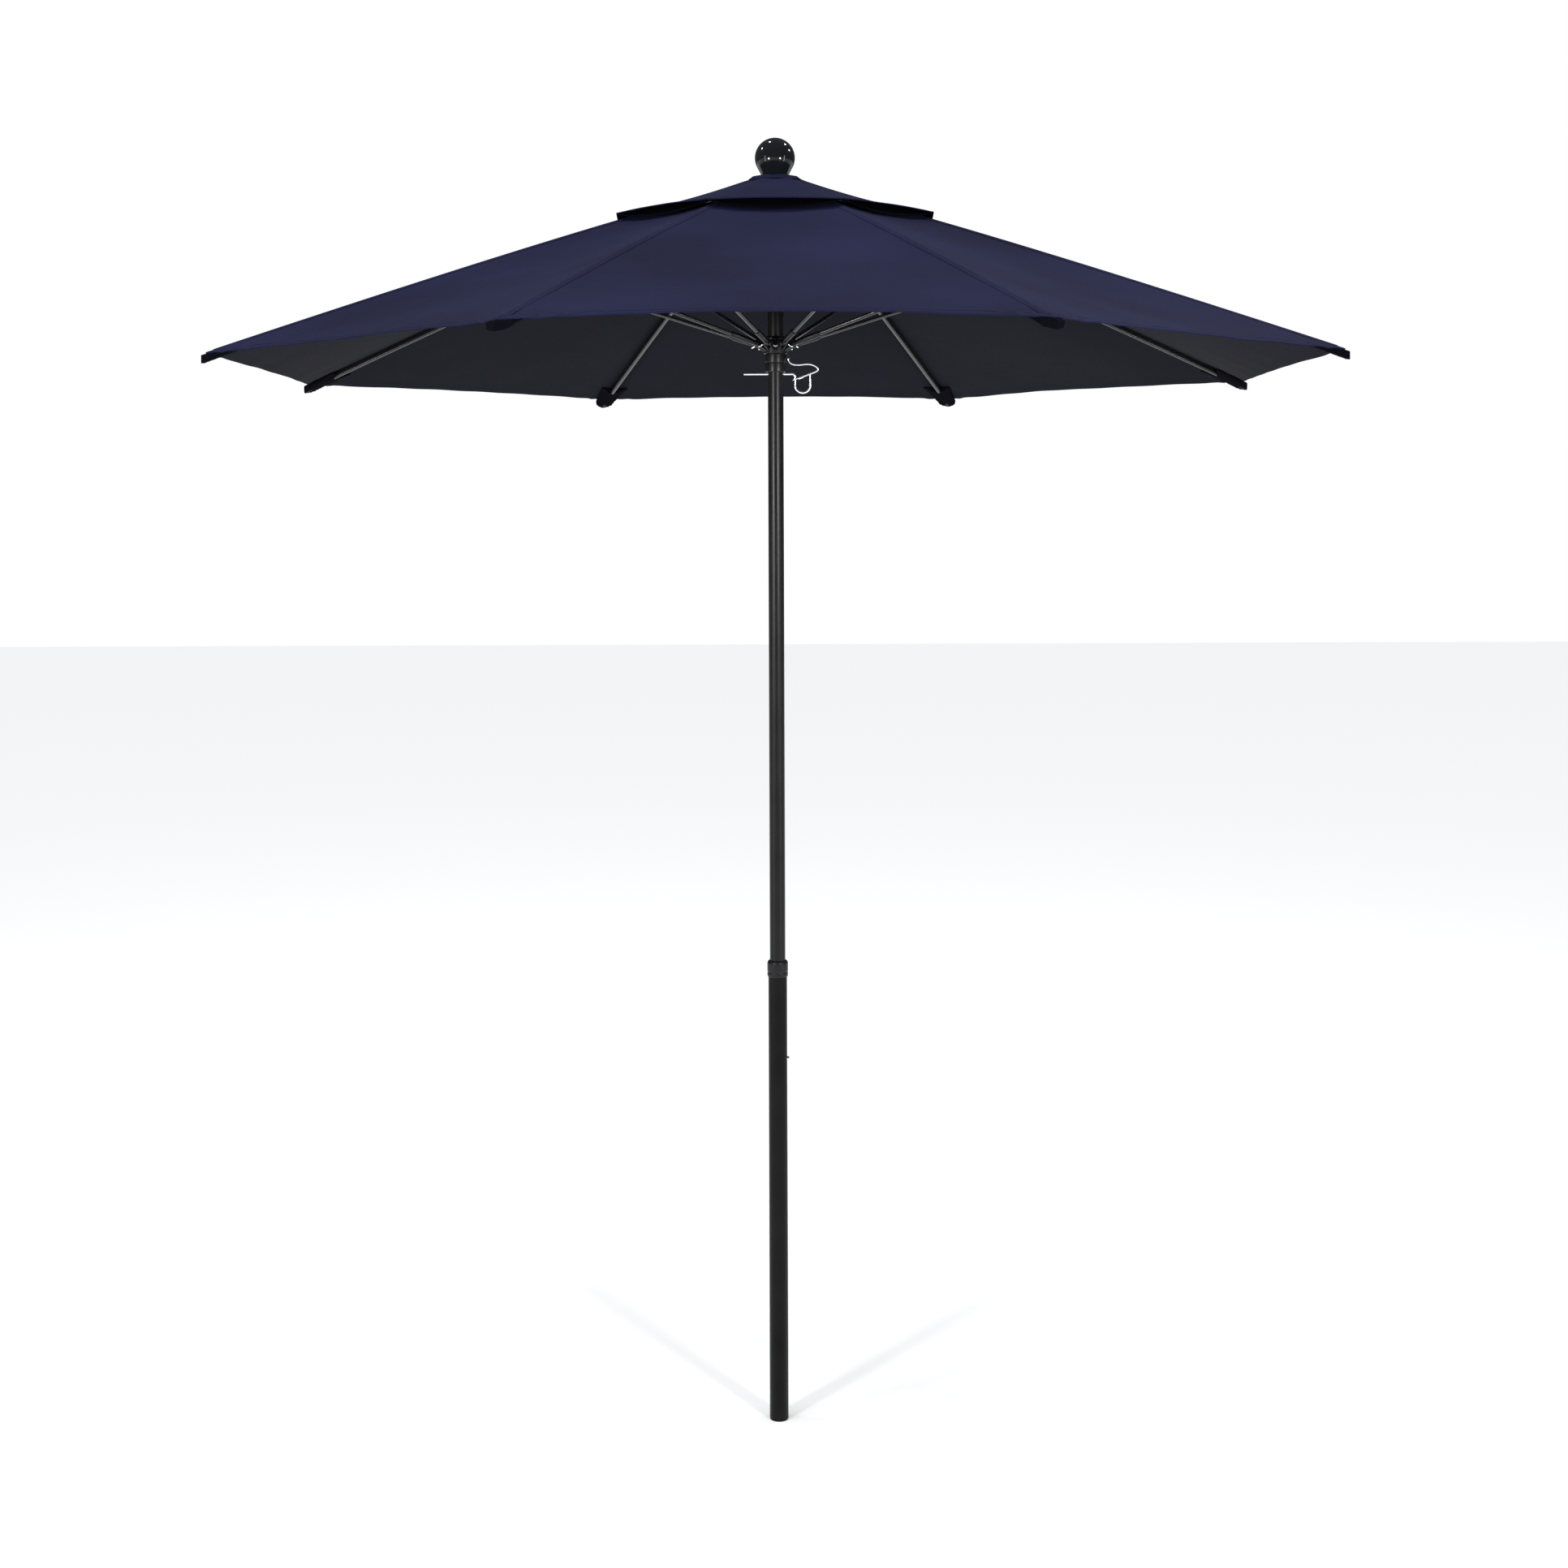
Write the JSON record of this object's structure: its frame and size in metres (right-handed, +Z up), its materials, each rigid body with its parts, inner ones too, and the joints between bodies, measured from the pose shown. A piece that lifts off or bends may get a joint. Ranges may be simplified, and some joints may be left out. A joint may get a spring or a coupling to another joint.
{
  "type": "patio umbrella",
  "caption": "Market umbrella with a wind-vented navy canopy, folding ribs and struts, a sliding runner held by a tethered lock pin, and a jointed black pole with a ball finial.",
  "frame": {"origin": "centre of the flat end of the pole's foot, on the pole's axis", "axes": "+Z up along the pole towards the finial; -Y towards the front, where the middle of one canopy panel faces; +X towards the lock pin's finger loop"},
  "size_m": [2.1136, 2.1136, 2.6175],
  "materials": {
    "canopy_fabric": "matt woven polyester",
    "pole_paint": "satin black powder coat",
    "rib_paint": "satin dark paint",
    "black_plastic": "moulded, semi-gloss",
    "finial_gloss": "glossy",
    "bright_steel": "bright zinc-plated wire and stampings",
    "tether_cable": "steel strand in a clear sheath"
  },
  "bodies": {
    "pole": {"lower_pole": "pole_paint", "upper_pole": "pole_paint", "foot_plug": "black_plastic", "pole_collar": "black_plastic", "button_spring": "bright_steel", "crown_hub": "black_plastic", "crown_pivot_ring": "bright_steel", "vent_cap_crown": "canopy_fabric", "finial": "finial_gloss"},
    "runner": {"runner_hub": "black_plastic", "runner_pivot_ring": "bright_steel", "runner_sleeve": "black_plastic", "tether_anchor": "black_plastic"},
    "lock_pin": {"lock_pin": "bright_steel", "tether_crimp": "bright_steel", "pin_tether": "tether_cable"},
    "snap_button": {"snap_button": "bright_steel"},
    "rib_1": {"rib_1": "rib_paint", "rib_tip_cap_1": "black_plastic", "canopy_section_1": "canopy_fabric", "vent_cap_section_1": "canopy_fabric"},
    "strut_1": {"strut_1": "rib_paint"},
    "rib_2": {"rib_2": "rib_paint", "rib_tip_cap_2": "black_plastic", "canopy_section_2": "canopy_fabric", "vent_cap_section_2": "canopy_fabric"},
    "strut_2": {"strut_2": "rib_paint"},
    "rib_3": {"rib_3": "rib_paint", "rib_tip_cap_3": "black_plastic", "canopy_section_3": "canopy_fabric", "vent_cap_section_3": "canopy_fabric"},
    "strut_3": {"strut_3": "rib_paint"},
    "rib_4": {"rib_4": "rib_paint", "rib_tip_cap_4": "black_plastic", "canopy_section_4": "canopy_fabric", "vent_cap_section_4": "canopy_fabric"},
    "strut_4": {"strut_4": "rib_paint"},
    "rib_5": {"rib_5": "rib_paint", "rib_tip_cap_5": "black_plastic", "canopy_section_5": "canopy_fabric", "vent_cap_section_5": "canopy_fabric"},
    "strut_5": {"strut_5": "rib_paint"},
    "rib_6": {"rib_6": "rib_paint", "rib_tip_cap_6": "black_plastic", "canopy_section_6": "canopy_fabric", "vent_cap_section_6": "canopy_fabric"},
    "strut_6": {"strut_6": "rib_paint"},
    "rib_7": {"rib_7": "rib_paint", "rib_tip_cap_7": "black_plastic", "canopy_section_7": "canopy_fabric", "vent_cap_section_7": "canopy_fabric"},
    "strut_7": {"strut_7": "rib_paint"},
    "rib_8": {"rib_8": "rib_paint", "rib_tip_cap_8": "black_plastic", "canopy_section_8": "canopy_fabric", "vent_cap_section_8": "canopy_fabric"},
    "strut_8": {"strut_8": "rib_paint"}
  },
  "joints": [
    {"name": "runner_slide", "type": "slide", "parent": "pole", "child": "runner", "axis": [0, 0, 1], "range_m": [-0.67699, 0]},
    {"name": "lock_pin_pull", "type": "slide", "parent": "pole", "child": "lock_pin", "axis": [1, 0, 0], "range_m": [0, 0.1], "deforming": ["pin_tether"]},
    {"name": "snap_button_press", "type": "slide", "parent": "pole", "child": "snap_button", "axis": [1, 0, 0], "range_m": [-0.0042, 0], "stiffness_N_per_m": 2000, "springref_m": 0.003, "deforming": ["button_spring"]},
    {"name": "rib_1_hinge", "type": "hinge", "parent": "pole", "child": "rib_1", "pos_m": [0.03511, 0.01454, 2.512], "axis": [-0.3827, 0.9239, 0], "range_deg": [0, 69.53], "deforming": ["canopy_section_1", "vent_cap_section_1"]},
    {"name": "strut_1_hinge", "type": "hinge", "parent": "rib_1", "child": "strut_1", "pos_m": [0.47038, 0.19484, 2.34756], "axis": [-0.3827, 0.9239, 0], "range_deg": [-140.34, 0]},
    {"name": "rib_2_hinge", "type": "hinge", "parent": "pole", "child": "rib_2", "pos_m": [0.01454, 0.03511, 2.512], "axis": [-0.9239, 0.3827, 0], "range_deg": [0, 69.53], "deforming": ["canopy_section_2", "vent_cap_section_2"]},
    {"name": "strut_2_hinge", "type": "hinge", "parent": "rib_2", "child": "strut_2", "pos_m": [0.19484, 0.47038, 2.34756], "axis": [-0.9239, 0.3827, 0], "range_deg": [-140.34, 0]},
    {"name": "rib_3_hinge", "type": "hinge", "parent": "pole", "child": "rib_3", "pos_m": [-0.01454, 0.03511, 2.512], "axis": [-0.9239, -0.3827, 0], "range_deg": [0, 69.53], "deforming": ["canopy_section_3", "vent_cap_section_3"]},
    {"name": "strut_3_hinge", "type": "hinge", "parent": "rib_3", "child": "strut_3", "pos_m": [-0.19484, 0.47038, 2.34756], "axis": [-0.9239, -0.3827, 0], "range_deg": [-140.34, 0]},
    {"name": "rib_4_hinge", "type": "hinge", "parent": "pole", "child": "rib_4", "pos_m": [-0.03511, 0.01454, 2.512], "axis": [-0.3827, -0.9239, 0], "range_deg": [0, 69.53], "deforming": ["canopy_section_4", "vent_cap_section_4"]},
    {"name": "strut_4_hinge", "type": "hinge", "parent": "rib_4", "child": "strut_4", "pos_m": [-0.47038, 0.19484, 2.34756], "axis": [-0.3827, -0.9239, 0], "range_deg": [-140.34, 0]},
    {"name": "rib_5_hinge", "type": "hinge", "parent": "pole", "child": "rib_5", "pos_m": [-0.03511, -0.01454, 2.512], "axis": [0.3827, -0.9239, 0], "range_deg": [0, 69.53], "deforming": ["canopy_section_5", "vent_cap_section_5"]},
    {"name": "strut_5_hinge", "type": "hinge", "parent": "rib_5", "child": "strut_5", "pos_m": [-0.47038, -0.19484, 2.34756], "axis": [0.3827, -0.9239, 0], "range_deg": [-140.34, 0]},
    {"name": "rib_6_hinge", "type": "hinge", "parent": "pole", "child": "rib_6", "pos_m": [-0.01454, -0.03511, 2.512], "axis": [0.9239, -0.3827, 0], "range_deg": [0, 69.53], "deforming": ["canopy_section_6", "vent_cap_section_6"]},
    {"name": "strut_6_hinge", "type": "hinge", "parent": "rib_6", "child": "strut_6", "pos_m": [-0.19484, -0.47038, 2.34756], "axis": [0.9239, -0.3827, 0], "range_deg": [-140.34, 0]},
    {"name": "rib_7_hinge", "type": "hinge", "parent": "pole", "child": "rib_7", "pos_m": [0.01454, -0.03511, 2.512], "axis": [0.9239, 0.3827, 0], "range_deg": [0, 69.53], "deforming": ["canopy_section_7", "vent_cap_section_7"]},
    {"name": "strut_7_hinge", "type": "hinge", "parent": "rib_7", "child": "strut_7", "pos_m": [0.19484, -0.47038, 2.34756], "axis": [0.9239, 0.3827, 0], "range_deg": [-140.34, 0]},
    {"name": "rib_8_hinge", "type": "hinge", "parent": "pole", "child": "rib_8", "pos_m": [0.03511, -0.01454, 2.512], "axis": [0.3827, 0.9239, 0], "range_deg": [0, 69.53], "deforming": ["canopy_section_8", "vent_cap_section_8"]},
    {"name": "strut_8_hinge", "type": "hinge", "parent": "rib_8", "child": "strut_8", "pos_m": [0.47038, -0.19484, 2.34756], "axis": [0.3827, 0.9239, 0], "range_deg": [-140.34, 0]}
  ],
  "couplings": [
    {"joint": "rib_1_hinge", "follows": "runner_slide", "rad_per_m": -1.7922},
    {"joint": "strut_1_hinge", "follows": "runner_slide", "rad_per_m": 3.6175},
    {"joint": "rib_2_hinge", "follows": "runner_slide", "rad_per_m": -1.7922},
    {"joint": "strut_2_hinge", "follows": "runner_slide", "rad_per_m": 3.6175},
    {"joint": "rib_3_hinge", "follows": "runner_slide", "rad_per_m": -1.7922},
    {"joint": "strut_3_hinge", "follows": "runner_slide", "rad_per_m": 3.6175},
    {"joint": "rib_4_hinge", "follows": "runner_slide", "rad_per_m": -1.7922},
    {"joint": "strut_4_hinge", "follows": "runner_slide", "rad_per_m": 3.6175},
    {"joint": "rib_5_hinge", "follows": "runner_slide", "rad_per_m": -1.7922},
    {"joint": "strut_5_hinge", "follows": "runner_slide", "rad_per_m": 3.6175},
    {"joint": "rib_6_hinge", "follows": "runner_slide", "rad_per_m": -1.7922},
    {"joint": "strut_6_hinge", "follows": "runner_slide", "rad_per_m": 3.6175},
    {"joint": "rib_7_hinge", "follows": "runner_slide", "rad_per_m": -1.7922},
    {"joint": "strut_7_hinge", "follows": "runner_slide", "rad_per_m": 3.6175},
    {"joint": "rib_8_hinge", "follows": "runner_slide", "rad_per_m": -1.7922},
    {"joint": "strut_8_hinge", "follows": "runner_slide", "rad_per_m": 3.6175}
  ]
}
